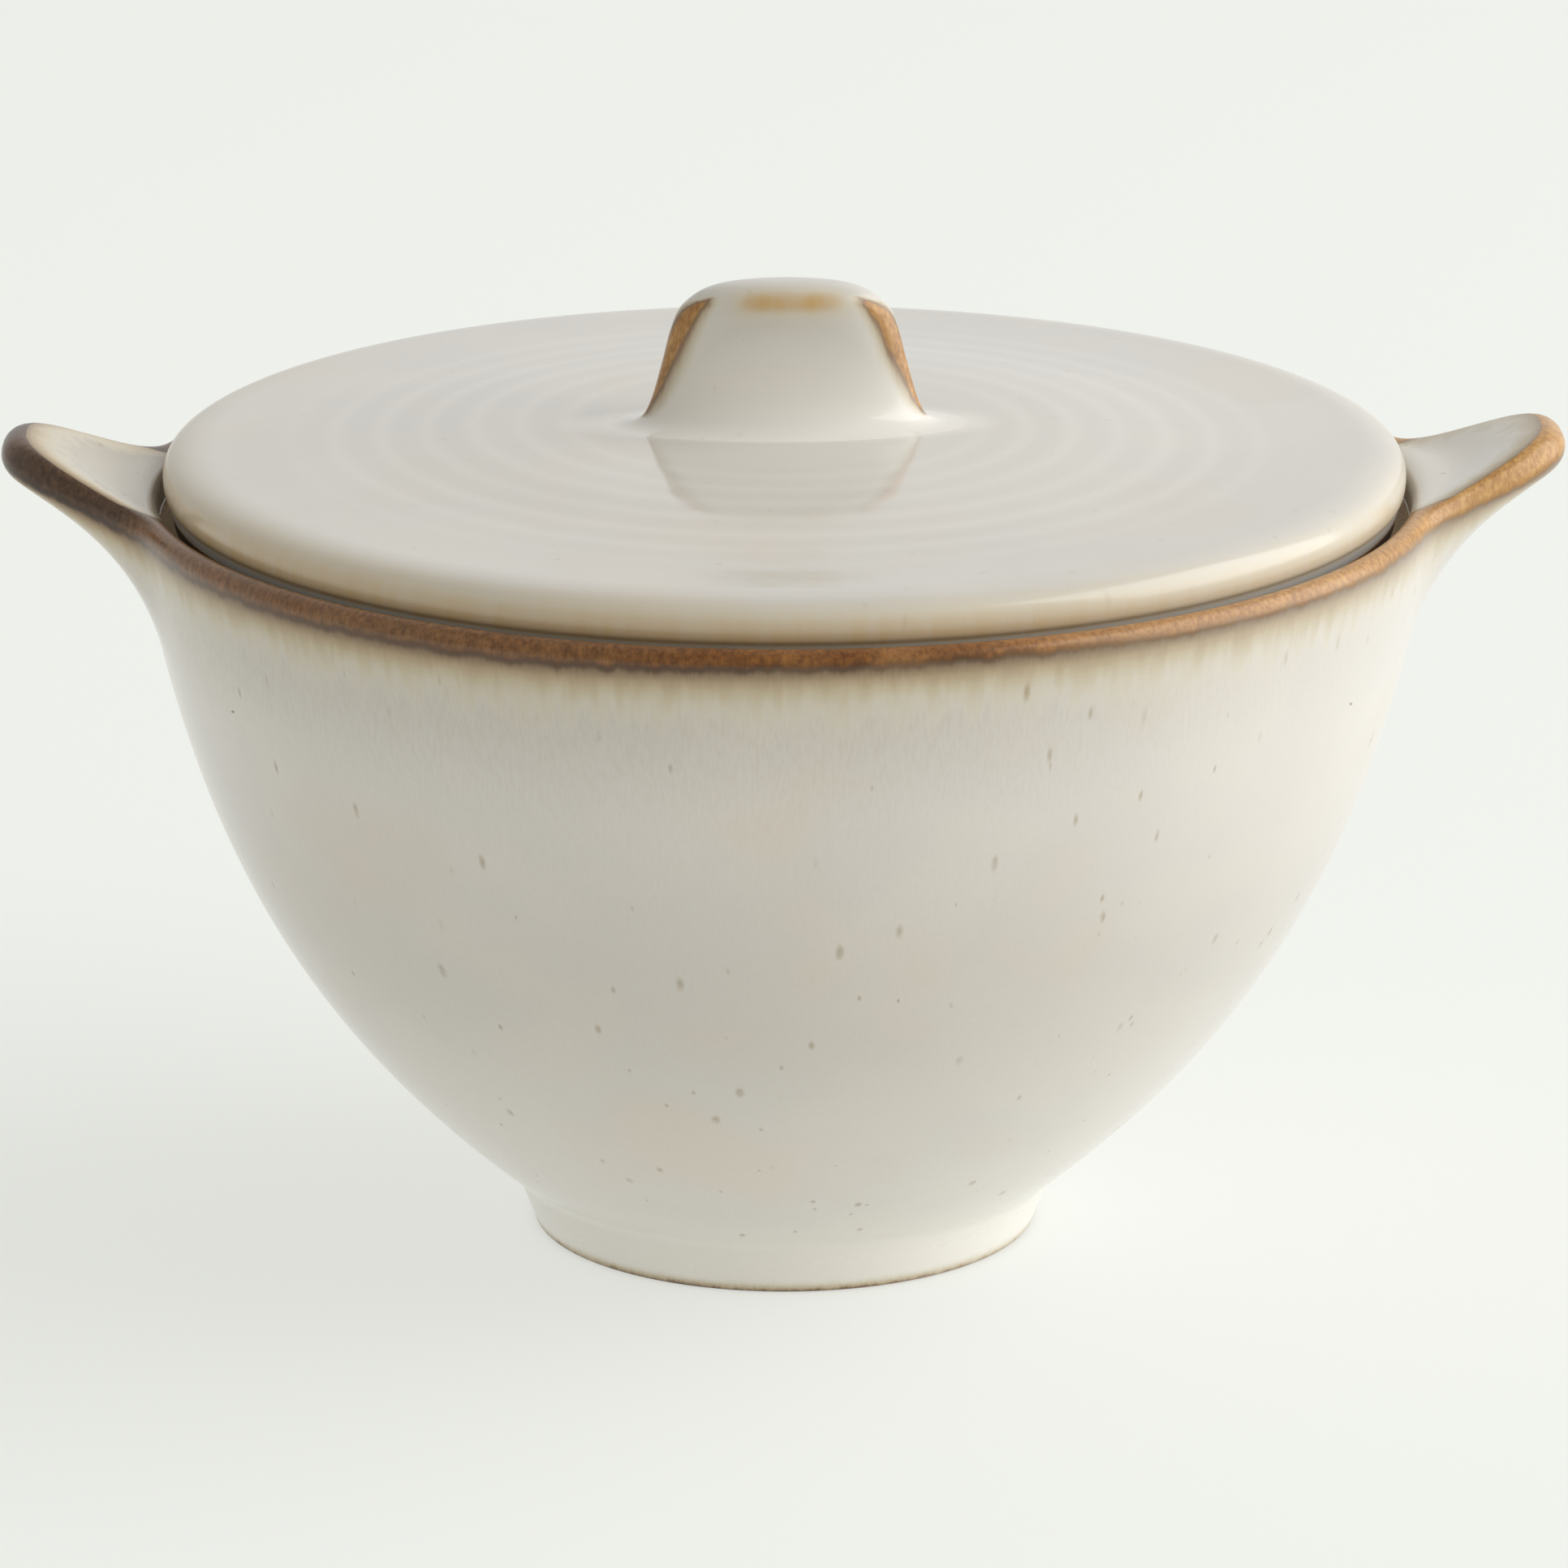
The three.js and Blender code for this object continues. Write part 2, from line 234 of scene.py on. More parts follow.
class Piece:
    """One closed piece: parts of a skin, and hidden faces that close it behind its neighbours."""

    def __init__(self, skin):
        self.skin = skin
        self.places, self.normals, self.faces, self.hidden = [], [], [], []
        self.values = {name: [] for name in skin.values}
        self.numbers = {}

    def vertex(self, key, place, row, column):
        """The number of the vertex called key, made on first use with the skin's values there."""
        if key not in self.numbers:
            self.numbers[key] = len(self.places)
            self.places.append(place)
            self.normals.append(self.skin.normals[row, column])
            for name, grid in self.skin.values.items():
                self.values[name].append(grid[row, column])
        return self.numbers[key]

    def on_skin(self, row, column):
        """The vertex at a skin point; a pole's columns share one vertex."""
        column = 0 if row in self.skin.poles else column % self.skin.points.shape[1]
        return self.vertex((row, column), self.skin.points[row, column], row, column)

    def face(self, corners, hidden=False):
        """A face through the numbered vertices, less any that repeat."""
        kept = [c for i, c in enumerate(corners) if c != corners[i - 1]]
        if len(kept) > 2:
            if hidden:
                self.hidden.append(len(self.faces))
            self.faces.append(kept)

    def cell(self, row, column):
        """The skin's quad between a row and the next and a column and the next."""
        self.face([self.on_skin(row, column), self.on_skin(row, column + 1),
                   self.on_skin(row + 1, column + 1), self.on_skin(row + 1, column)])

    def band(self, first, last, leave_out=lambda row, column: False):
        """All quads between two rows."""
        for row in range(first, last):
            for column in range(self.skin.points.shape[1]):
                if not leave_out(row, column):
                    self.cell(row, column)

    def seal(self, first, last, depth_points):
        """Hidden rings that join row first to row last through (r, z) points, facing as the skin would."""
        total = self.skin.points.shape[1]
        rings = [[self.on_skin(first, c) for c in range(total)]]
        for level, (radius, height) in enumerate(depth_points):
            ring = []
            for c in range(total):
                x, y = self.skin.points[first, c, :2]
                scale = radius / math.hypot(x, y)
                place = np.array([x * scale, y * scale, height])
                ring.append(self.vertex(("seal", first, level, c), place, first, c))
            rings.append(ring)
        rings.append([self.on_skin(last, c) for c in range(total)])
        for low, high in zip(rings, rings[1:]):
            for c in range(total):
                d = (c + 1) % total
                self.face([low[c], low[d], high[d], high[c]], hidden=True)

    def cap(self, row, drop, facing_up):
        """A hidden fan that closes the opening inside a row, with its centre drop lower."""
        centre = self.skin.points[row].mean(0) - (0, 0, drop)
        middle = self.vertex(("cap", row), centre, row, 0)
        for c in range(self.skin.points.shape[1]):
            corners = [self.on_skin(row, c), self.on_skin(row, c + 1), middle]
            self.face(corners if facing_up else corners[::-1], hidden=True)

    def build(self, name, body, nodes, material):
        """Make the Blender object, riding on its body and standing for its CAD nodes."""
        mesh = bpy.data.meshes.new(name)
        mesh.from_pydata((np.array(self.places) * MM).tolist(), [], self.faces)
        mesh.shade_smooth()
        for key, values in self.values.items():
            layer = mesh.attributes.new(key, "FLOAT", "POINT")
            layer.data.foreach_set("value", np.array(values, np.float32))
        hidden = set(self.hidden)
        corner_normals = []
        for polygon in mesh.polygons:
            flat = polygon.index in hidden
            for corner in polygon.vertices:
                corner_normals.append(polygon.normal if flat else Vector(self.normals[corner]))
        mesh.normals_split_custom_set(corner_normals)
        mesh.materials.append(material)
        obj = bpy.data.objects.new(name, mesh)
        bpy.context.scene.collection.objects.link(obj)
        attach(obj, body)
        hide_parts(*nodes)


# ---------------------------------------------------------------- vessel

def wall_curve():
    """The bowl's outer wall from the foot's shoulder to the start of the lip, finely sampled."""
    top = RIM_HEIGHT - LIP_ROUND
    rise, spread = top - FOOT_HEIGHT, RIM_RADIUS - FOOT_RADIUS
    return bezier(
        (FOOT_RADIUS, FOOT_HEIGHT),
        (FOOT_RADIUS + BELLY_LOW[0] * spread, FOOT_HEIGHT + BELLY_LOW[1] * rise),
        (RIM_RADIUS - BELLY_HIGH[0] * spread, top - BELLY_HIGH[1] * rise),
        (RIM_RADIUS, top), 4001)


WALL_CURVE = wall_curve()


def wall_at(heights):
    """(r, z) of the outer wall at the given heights."""
    heights = np.atleast_1d(heights)
    return np.stack([np.interp(heights, WALL_CURVE[:, 1], WALL_CURVE[:, 0]), heights], 1)


def wall_span(low, high, count):
    """count points on the outer wall between two heights, even in length."""
    return evenly(wall_at(np.linspace(low, high, 400)), count)


def inner_wall(count):
    """The inside from the gallery's support down to the floor: the outer curve set in by the wall."""
    inside = set_in(WALL_CURVE, WALL)
    keep = (inside[:, 1] > FLOOR_HEIGHT + 9) & (inside[:, 1] < LEDGE_HEIGHT - 12)
    return evenly(inside[keep][::-1], count)


def ear_outline():
    """The outline through an ear's middle, with as many points as the plain rim's four stretches."""
    under_rows, edge_rows, top_rows, roll_rows = PATCH_ROWS
    root = wall_at(EAR_ROOT_HEIGHT)[0]
    centre = np.array([EAR_REACH - EAR_EDGE_RADIUS, EAR_EDGE_HEIGHT])
    edge = arc(centre, EAR_EDGE_RADIUS, EAR_EDGE_RADIUS, -55, 104, edge_rows)
    along_wall = np.array([0.235, 0.972])
    along_under = np.array([0.82, 0.57])
    under = bezier(root, root + 17.0 * along_wall, edge[0] - 6.0 * along_under, edge[0], under_rows)
    roll_start = np.array([RIM_RADIUS + 0.6, RIM_HEIGHT + 0.75])
    inward = np.array([-0.97, -0.24])
    level = np.array([-0.985, -0.17])
    top = bezier(edge[-1], edge[-1] + 6 * inward, roll_start - 5 * level, roll_start, top_rows)
    lip = np.array([LIP_INNER, RIM_HEIGHT - LIP_ROUND])
    roll = bezier(roll_start, roll_start + 2.6 * level, lip + (0, 1.7), lip, roll_rows)
    return under, edge, top, roll


def rim_outline():
    """The plain rim's outline over the same four stretches."""
    under_rows, edge_rows, top_rows, roll_rows = PATCH_ROWS
    centre = (RIM_RADIUS - LIP_THICKNESS / 2, RIM_HEIGHT - LIP_ROUND)
    half = LIP_THICKNESS / 2
    return (wall_span(EAR_ROOT_HEIGHT, RIM_HEIGHT - LIP_ROUND, under_rows),
            arc(centre, half, LIP_ROUND, 0, 72, edge_rows),
            arc(centre, half, LIP_ROUND, 72, 112, top_rows),
            arc(centre, half, LIP_ROUND, 112, 180, roll_rows))


def vessel_angles():
    """Column angles, closer together through the ears."""
    fine = int(round(EAR_PATCH / EAR_STEP))
    plain = int(round((math.pi - 2 * EAR_PATCH) / PLAIN_STEP))
    half_turn = np.concatenate([np.linspace(0, EAR_PATCH, fine + 1)[:-1],
                                np.linspace(EAR_PATCH, math.pi - EAR_PATCH, plain + 1)[:-1],
                                np.linspace(math.pi - EAR_PATCH, math.pi, fine + 1)[:-1]])
    return np.concatenate([half_turn, half_turn + math.pi])


def ear_share(angles):
    """How much of an ear stands at each angle: 1 on the X axis, 0 past the patch."""
    from_axis = np.abs((angles + math.pi / 2) % math.pi - math.pi / 2)
    share = np.exp(-((from_axis / EAR_SPREAD) ** EAR_FALLOFF))
    return share * (1 - smooth_step(0.8 * EAR_PATCH, 0.99 * EAR_PATCH, from_axis))


def vessel_outline():
    """The plain outline from the underside's centre, up the outside and down to the floor inside, and
    the rows where its pieces part."""
    bottom = FOOT_BOTTOM_OUTER + 0.8
    foot_top = wall_at(FOOT_HEIGHT + SHOULDER_RISE)[0]
    foot_side = np.array([FOOT_RADIUS - 0.55, FOOT_HEIGHT - SHOULDER_RISE])
    crease = (FOOT_RADIUS - 0.1, FOOT_HEIGHT + 0.15)
    recess = np.array([FOOT_BOTTOM_INNER - 2.6, FOOT_HEIGHT])
    under = [line((0, FOOT_HEIGHT), recess - (1.6, 0), 9)]
    foot = [bezier(recess - (1.6, 0), recess - (0.6, 0), recess + (0.15, -0.5), recess + (0.5, -1.6), 6),
            line(recess + (0.5, -1.6), (FOOT_BOTTOM_INNER - 1.1, FOOT_ROUND), 8),
            arc((FOOT_BOTTOM_INNER, FOOT_ROUND), 1.1, FOOT_ROUND, 180, 270, 6),
            line((FOOT_BOTTOM_INNER, 0), (FOOT_BOTTOM_OUTER, 0), 4),
            arc((FOOT_BOTTOM_OUTER, FOOT_ROUND), 0.8, FOOT_ROUND, 270, 360, 7),
            line((bottom, FOOT_ROUND), foot_side, 12),
            bezier(foot_side, foot_side + (0.5, 1.3), crease, foot_top, 9)]
    side = [wall_span(FOOT_HEIGHT + SHOULDER_RISE, EAR_ROOT_HEIGHT, 52)]
    rim = list(rim_outline())
    wall = inner_wall(44)
    slope = unit_steps(wall[-2:])[-1]
    corner = LEDGE_HEIGHT + 0.35
    nose = LEDGE_INNER + LEDGE_NOSE
    inside = [line((LIP_INNER, RIM_HEIGHT - LIP_ROUND), (LIP_INNER, corner), 5),
              bezier((LIP_INNER, corner), (LIP_INNER, LEDGE_HEIGHT + 0.1),
                     (LIP_INNER - 0.1, LEDGE_HEIGHT), (LIP_INNER - 0.35, LEDGE_HEIGHT), 4),
              line((LIP_INNER - 0.35, LEDGE_HEIGHT), (nose, LEDGE_HEIGHT), 6),
              arc((nose, LEDGE_HEIGHT - LEDGE_NOSE), LEDGE_NOSE, LEDGE_NOSE, 90, 180, 7),
              bezier((LEDGE_INNER, LEDGE_HEIGHT - LEDGE_NOSE), (LEDGE_INNER, LEDGE_HEIGHT - 5),
                     wall[0] + (0.8, 4.0), wall[0], 10),
              wall,
              bezier(wall[-1], wall[-1] + 9 * slope, (24, FLOOR_HEIGHT), (13, FLOOR_HEIGHT), 16),
              line((13, FLOOR_HEIGHT), (0, FLOOR_HEIGHT), 7)]
    plain = joined(under + foot + side + rim + inside)
    foot_first = row_count(under)
    foot_last = foot_first + row_count(foot)
    patch_first = foot_last + row_count(side)
    parts = {"foot": (foot_first, foot_last),
             "foot_seat": foot_first + row_count(foot[:4]),
             "patch": (patch_first, patch_first + row_count(rim)),
             "edge": patch_first + row_count(rim[:2]),
             "end": len(plain) - 1}
    return plain, parts


def vessel_values(outline, angles, share, parts):
    """The glaze attributes over the vessel's skin."""
    radius, height = outline[..., 0], outline[..., 1]
    steps = np.linalg.norm(np.diff(outline, axis=0), axis=2)
    length = np.vstack([np.zeros(len(angles)), np.cumsum(steps, 0)])

    # Signed distance from the brown band along the outline: negative in it, positive past it
    past_edge = length - length[parts["edge"]]
    on_ear = smooth_step(0.02, 0.25, share)
    down = np.interp(np.cos(angles), [-0.37, 0, 0.33, 1], [3.3, 2.7, 2.2, 2.4])
    below = -past_edge - (down + (5.5 - down) * share)
    above = past_edge - (5.0 * (1 - on_ear) - 0.6 * on_ear)
    rim_break = np.where(past_edge < 0, below, above)
    # Painted shade: the lip's inner face in the gap turns dark brown, except on the ears where it stays
    # white
    painted_gap_shade = (past_edge > 0) & (radius < LIP_INNER + 0.8)
    painted_gap_shade &= (height > LEDGE_HEIGHT + 0.1) & (height < RIM_HEIGHT - 0.7)
    rim_break = np.where(painted_gap_shade, GAP_SHADE_MM * (1 - on_ear) + 6 * on_ear, rim_break)
    foot_break = np.abs(length - length[parts["foot_seat"]]) - 0.55
    halo = np.where(past_edge < 0, 7.0, 3.5 + 2.5 * on_ear)

    # The band is darkest at the left and most golden at the right
    across = np.broadcast_to(np.cos(angles), radius.shape)
    left_ear, right_ear = on_ear * (across < 0), on_ear * (across > 0)
    gold = np.interp(across, [-1, -0.6, 0, 1], [0.22, 0.25, 0.47, 1.0]) - 0.24 * left_ear

    # Painted light at the foot and on the right ear's top, painted shade on the left ear's top, and darker
    # round the belly
    on_top = (past_edge > 0) & (height > RIM_HEIGHT - 2)
    pool_and_painted_shading = 1 - smooth_step(FOOT_HEIGHT - 2, FOOT_HEIGHT + 9, height)
    pool_and_painted_shading = pool_and_painted_shading - 0.35 * np.exp(-((height - 50) / 20) ** 2)
    pool_and_painted_shading = pool_and_painted_shading + (0.7 * right_ear - 0.9 * left_ear) * on_top

    on_foot = height < 0.02
    on_ledge = (np.abs(height - LEDGE_HEIGHT) < 0.05) & (radius < LIP_INNER - 0.3)
    return {"break_mm": np.minimum(rim_break, foot_break),
            "halo_mm": np.where(foot_break < rim_break, 1.5, halo),
            "gold": gold,
            "pool_and_painted_shading": pool_and_painted_shading,
            "tan": np.zeros(radius.shape),
            "clay": (on_foot | on_ledge).astype(float)}


def vessel_skin(plain, parts):
    """The vessel's skin, turned from the plain outline with an ear blended in on each side."""
    angles = vessel_angles()
    share = ear_share(angles)
    ear = joined(ear_outline())
    outline = np.repeat(plain[:, None, :], len(angles), 1)
    first, last = parts["patch"]
    rows = slice(first, last + 1)
    shares = np.stack([share, share ** EAR_HEIGHT_FALLOFF], 1)
    outline[rows] += shares[None] * (ear - plain[rows])[:, None, :]
    points = np.stack([outline[..., 0] * np.cos(angles), outline[..., 0] * np.sin(angles),
                       outline[..., 1]], 2)
    return Skin(points, vessel_values(outline, angles, share, parts)), angles


def hide_patch(piece, sunk, angles, patch, columns, facing_out):
    """Hidden faces on the sunk outline behind an ear, joined to the patch's border."""
    first, last = patch

    def corner(row, column):
        index = column % len(angles)
        if row in (first, last) or column in (columns[0], columns[-1]):
            return piece.on_skin(row, index)
        radius, height = sunk[row]
        place = np.array([radius * math.cos(angles[index]), radius * math.sin(angles[index]), height])
        return piece.vertex(("sunk", row, index), place, row, index)

    for row in range(first, last):
        for column in columns[:-1]:
            corners = [corner(row, column), corner(row, column + 1),
                       corner(row + 1, column + 1), corner(row + 1, column)]
            piece.face(corners if facing_out else corners[::-1], hidden=True)


def make_vessel(material):
    """Bowl, foot ring and two ears cut from one skin."""
    plain, parts = vessel_outline()
    skin, angles = vessel_skin(plain, parts)
    first, last = parts["patch"]
    foot_first, foot_last = parts["foot"]
    half = int(round(EAR_PATCH / EAR_STEP))
    ear_columns = {}
    for side, middle in (("right", 0.0), ("left", math.pi)):
        centre = int(np.argmin(np.abs(angles - middle)))
        ear_columns[side] = range(centre - half, centre + half + 1)
    covered = {column % len(angles) for columns in ear_columns.values() for column in columns[:-1]}

    # The hidden faces behind an ear: deeper in the bowl than in the ear, so that they never touch
    behind_bowl, behind_ear = set_in(plain, 0.7), set_in(plain, 0.3)

    bowl = Piece(skin)
    bowl.band(0, foot_first)
    bowl.seal(foot_first, foot_last, [(FOOT_RADIUS - 2, FOOT_HEIGHT + 0.8)])
    bowl.band(foot_last, parts["end"], lambda row, column: first <= row < last and column in covered)
    for columns in ear_columns.values():
        hide_patch(bowl, behind_bowl, angles, parts["patch"], columns, True)
    bowl.build("glazed_bowl", "bowl", ["bowl_body"], material)

    foot = Piece(skin)
    foot.band(foot_first, foot_last)
    foot.seal(foot_last, foot_first, [(FOOT_RADIUS - 2, FOOT_HEIGHT + 0.4)])
    foot.build("glazed_foot_ring", "bowl", ["foot_ring"], material)

    for side, columns in ear_columns.items():
        ear = Piece(skin)
        for row in range(first, last):
            for column in columns[:-1]:
                ear.cell(row, column % len(angles))
        hide_patch(ear, behind_ear, angles, parts["patch"], columns, False)
        ear.build(f"glazed_ear_{side}", "bowl", [f"ear_handle_{side}"], material)


# ---------------------------------------------------------------- lid

def lid_top_height(radius):
    """Height of the lid's domed top at a radius, before the throwing rings."""
    at = np.linspace(0, LID_RADIUS - LID_BEVEL, 400)
    fall = np.cumsum(np.interp(at, SLOPE_RADII, SLOPES))
    drop = (LID_CENTRE_HEIGHT - LID_EDGE_HEIGHT) * fall / fall[-1]
    return np.interp(radius, at, LID_CENTRE_HEIGHT - drop)


def throwing_rings(radius, angle):
    """Shallow spiral rings left on the lid's top, in millimetres, fading at the knob and the edge."""
    turn = angle / (2 * math.pi)
    wave = (0.012 * np.sin(2 * math.pi * (radius / 11.5 + turn))
            + 0.004 * np.sin(2 * math.pi * (radius / 5.2 - turn) + 1.3)
            + 0.002 * np.sin(2 * math.pi * (radius / 3.1 + turn) + 0.4))
    wave *= 1 - 0.7 * smooth_step(44, 52, radius)
    warp = 0.08 * np.sin(2 * angle + 0.7) * (radius / LID_RADIUS) ** 2
    return (wave + warp) * smooth_step(17, 30, radius) * (1 - smooth_step(66, 75, radius))


def knob_profile(count):
    """Rows of height over the lid, half length, half width and pinch, from the foot to the crown."""
    top = KNOB_HEIGHT
    return spline([
        (0.0, KNOB_FOOT_LENGTH, KNOB_FOOT_WIDTH, 1.0),
        (0.15, 21.6, 9.4, 1.02),
        (0.55, 19.8, 8.4, 1.08),
        (1.3, 18.7, 7.3, 1.15),
        (2.6, 18.0, 6.3, 1.15),
        (4.5, 17.3, 5.5, 1.05),
        (8.5, 16.2, 4.8, 0.9),
        (12.5, 15.2, 4.5, 0.85),
        (top - 4.2, 14.1, 4.5, 0.85),
        (top - 2.5, 12.5, 4.3, 0.88),
        (top - 1.3, 10.6, 3.7, 0.92),
        (top - 0.55, 8.2, 2.9, 0.96),
        (top - 0.17, 5.4, 1.9, 1.0),
        (top - 0.03, 2.7, 0.9, 1.0),
        (top, 0.0, 0.0, 1.0)], count)


def lid_outline():
    """The plain outline from the underside's centre, round the flange and up to the bevel's top, and
    the rows where its pieces part."""
    ceiling = LID_EDGE_HEIGHT - LID_THICKNESS
    low, bend = FLANGE_LOW, FLANGE_LOW + FLANGE_ROUND
    low_inner = FLANGE_INNER + FLANGE_TAPER + FLANGE_ROUND
    low_outer = FLANGE_RADIUS - FLANGE_TAPER - FLANGE_ROUND
    under_edge = (LID_RADIUS - 0.65, RIM_HEIGHT - 0.35)
    bevel_foot = (LID_RADIUS - 0.15, RIM_HEIGHT + 0.6)
    under = [line((0, ceiling + 1.1), (50, ceiling + 0.5), 16),
             bezier((50, ceiling + 0.5), (62, ceiling + 0.2), (FLANGE_INNER - 1.5, ceiling + 0.2),
                    (FLANGE_INNER, LEDGE_HEIGHT), 12)]
    flange = [line((FLANGE_INNER, LEDGE_HEIGHT), (FLANGE_INNER + FLANGE_TAPER, bend), 7),
              arc((low_inner, bend), FLANGE_ROUND, FLANGE_ROUND, 180, 270, 6),
              line((low_inner, low), (low_outer, low), 3),
              arc((low_outer, bend), FLANGE_ROUND, FLANGE_ROUND, 270, 360, 6),
              line((FLANGE_RADIUS - FLANGE_TAPER, bend), (FLANGE_RADIUS, LEDGE_HEIGHT - 0.5), 7)]
    edge = [bezier((FLANGE_RADIUS, LEDGE_HEIGHT - 0.5), (FLANGE_RADIUS, LEDGE_HEIGHT - 0.1),
                   (FLANGE_RADIUS + 0.1, LEDGE_HEIGHT), (FLANGE_RADIUS + 0.6, LEDGE_HEIGHT), 5),
            line((FLANGE_RADIUS + 0.6, LEDGE_HEIGHT), (SEAT_OUTER - 0.6, LEDGE_HEIGHT), 5),
            bezier((SEAT_OUTER - 0.6, LEDGE_HEIGHT), (SEAT_OUTER, LEDGE_HEIGHT),
                   (SEAT_OUTER, LEDGE_HEIGHT + 0.3), (SEAT_OUTER + 0.05, LEDGE_HEIGHT + 0.8), 5),
            line((SEAT_OUTER + 0.05, LEDGE_HEIGHT + 0.8), under_edge, 8),
            bezier(under_edge, (LID_RADIUS - 0.35, RIM_HEIGHT), (LID_RADIUS - 0.2, RIM_HEIGHT + 0.2),
                   bevel_foot, 6),
            bezier(bevel_foot, (LID_RADIUS + 0.25, LID_EDGE_HEIGHT - 2.2),
                   (LID_RADIUS - 0.3, LID_EDGE_HEIGHT - 0.1),
                   (LID_RADIUS - LID_BEVEL, LID_EDGE_HEIGHT), 30)]
    flange_first = row_count(under)
    return joined(under + flange + edge), (flange_first, flange_first + row_count(flange))


def lid_skin(outline):
    """The lid's skin, and the row at the knob's foot."""
    angles = np.arange(LID_COLUMNS) * 2 * math.pi / LID_COLUMNS
    turned = np.stack([outline[:, :1] * np.cos(angles), outline[:, :1] * np.sin(angles),
                       np.repeat(outline[:, 1:], LID_COLUMNS, 1)], 2)

    # The top: rings that pass from the bevel's circle to the knob's oval foot
    share = np.linspace(0, 1, LID_TOP_ROWS)[1:, None]
    bevel_radius = LID_RADIUS - LID_BEVEL
    x = (bevel_radius + (KNOB_FOOT_LENGTH - bevel_radius) * share) * np.cos(angles)
    y = (bevel_radius + (KNOB_FOOT_WIDTH - bevel_radius) * share) * np.sin(angles)
    radius = np.hypot(x, y)
    top = np.stack([x, y, lid_top_height(radius) + throwing_rings(radius, np.arctan2(y, x))], 2)

    profile = knob_profile(KNOB_ROWS)[1:]
    height, length, width, pinch = (profile[:, i:i + 1] for i in range(4))
    x = length * np.cos(angles)
    y = width * np.sign(np.sin(angles)) * np.abs(np.sin(angles)) ** pinch
    x[-1], y[-1] = 0, 0
    radius = np.hypot(x, y)
    rings = throwing_rings(radius, np.arctan2(y, x)) * (1 - smooth_step(0, 2, height))
    knob = np.stack([x, y, lid_top_height(radius) + height + rings], 2)

    points = np.vstack([turned, top, knob])
    knob_first = len(turned) + len(top) - 1
    return Skin(points, lid_values(points, outline, knob_first, height)), knob_first


def lid_values(points, outline, knob_first, height):
    """The glaze attributes over the lid's skin; height is over the lid, for the knob's rows."""
    x, y, z = (points[..., i] for i in range(3))
    break_mm = np.full(x.shape, FAR_MM)
    tan = np.zeros(x.shape)
    clay = np.zeros(x.shape)

    # Bevel: tan towards its lower edge, and painted shade as dark as the gap's on all that lies below it
    count = len(outline)
    lengths = arc_lengths(outline)
    edge_row = int(np.argmin(np.hypot(outline[:, 0] - LID_RADIUS, outline[:, 1] - RIM_HEIGHT - 0.2)))
    from_edge = np.abs(lengths - lengths[edge_row])
    below = (np.arange(count) < edge_row) & (outline[:, 0] < LID_RADIUS - 1.0)
    break_mm[:count] = np.where(below, GAP_SHADE_MM, from_edge + 2.5)[:, None]
    on_bevel = outline[:, 1] > RIM_HEIGHT - 0.5
    # The tan reaches higher on the left side as painted shade and is weaker on the right side as painted
    # light
    right_side = smooth_step(0.1, 0.9, x[:count] / LID_RADIUS)
    left_side = smooth_step(0.3, 0.9, -x[:count] / LID_RADIUS)
    fade = 1 - smooth_step(0.2, 7.8 + 3 * left_side, from_edge[:, None])
    tan[:count] = on_bevel[:, None] * fade * (0.85 - 0.2 * right_side)
    bare = (outline[:, 1] < LEDGE_HEIGHT + 0.4) & (outline[:, 0] > FLANGE_INNER - 0.5)
    clay[:count] = bare[:, None]

    # Knob: brown along both end ridges, tapering to a point at the foot, and tan on the crown's edges
    on_knob = slice(knob_first + 1, None)
    knob = points[on_knob]
    ring_steps = np.linalg.norm(knob - np.roll(knob, 1, 1), axis=2)
    around = np.cumsum(ring_steps, 1)
    around -= around[:, :1]
    half = (around[:, -1:] + ring_steps[:, :1]) / 2
    from_end = np.abs((around + half / 2) % half - half / 2)
    parting = np.interp(height, [1, 4, 8, 13, 16, 17.5], [0, 0.5, 1.3, 2.2, 2.9, 3.4])
    band = np.interp(height, [0.5, 0.9, 1.4, 3, 6, 10, 13, 15.5, 16.8, 17.8, 18.6],
                     [-8, -1.0, 0.4, 0.95, 1.35, 1.6, 1.6, 1.4, 0.9, -0.8, -8])
    break_mm[on_knob] = np.abs(from_end - parting) - band
    crown = np.exp(-((height - (KNOB_HEIGHT - 2.3)) / 1.9) ** 2)
    middle = 1 - smooth_step(4.5, 10.0, np.abs(knob[..., 0] - 0.8))
    facing = smooth_step(0.3, 0.8, np.abs(knob[..., 1]) / 4.4)
    tan[on_knob] = crown * middle * facing

    # Glaze pooled white round the knob's foot, with a painted highlight on that ring, and painted light up
    # the knob's lower part
    from_foot = np.hypot(x / (KNOB_FOOT_LENGTH - 4), y / (KNOB_FOOT_WIDTH - 2.5))
    pool_and_painted_shading = smooth_step(0.55, 0.85, from_foot) * (1 - smooth_step(1.05, 1.5, from_foot))
    pool_and_painted_shading *= z > LID_EDGE_HEIGHT - 1
    pool_and_painted_shading[on_knob] = np.maximum(pool_and_painted_shading[on_knob], 1 - smooth_step(3, 16, height))

    # and along the throwing rings
    radius, turn = np.hypot(x, y), np.arctan2(y, x) / (2 * math.pi)
    wander = 0.12 * np.sin(4 * math.pi * turn + 1)
    rings = 0.5 + 0.5 * np.sin(2 * math.pi * (radius / 6.2 + turn + wander))
    pool_and_painted_shading += 0.2 * rings ** 2 * smooth_step(20, 30, radius) * (1 - smooth_step(56, 72, radius))
    return {"break_mm": break_mm, "halo_mm": np.full(x.shape, 2.0), "tan": tan, "clay": clay,
            "gold": 0.85 + 0.12 * x / LID_RADIUS, "pool_and_painted_shading": pool_and_painted_shading}


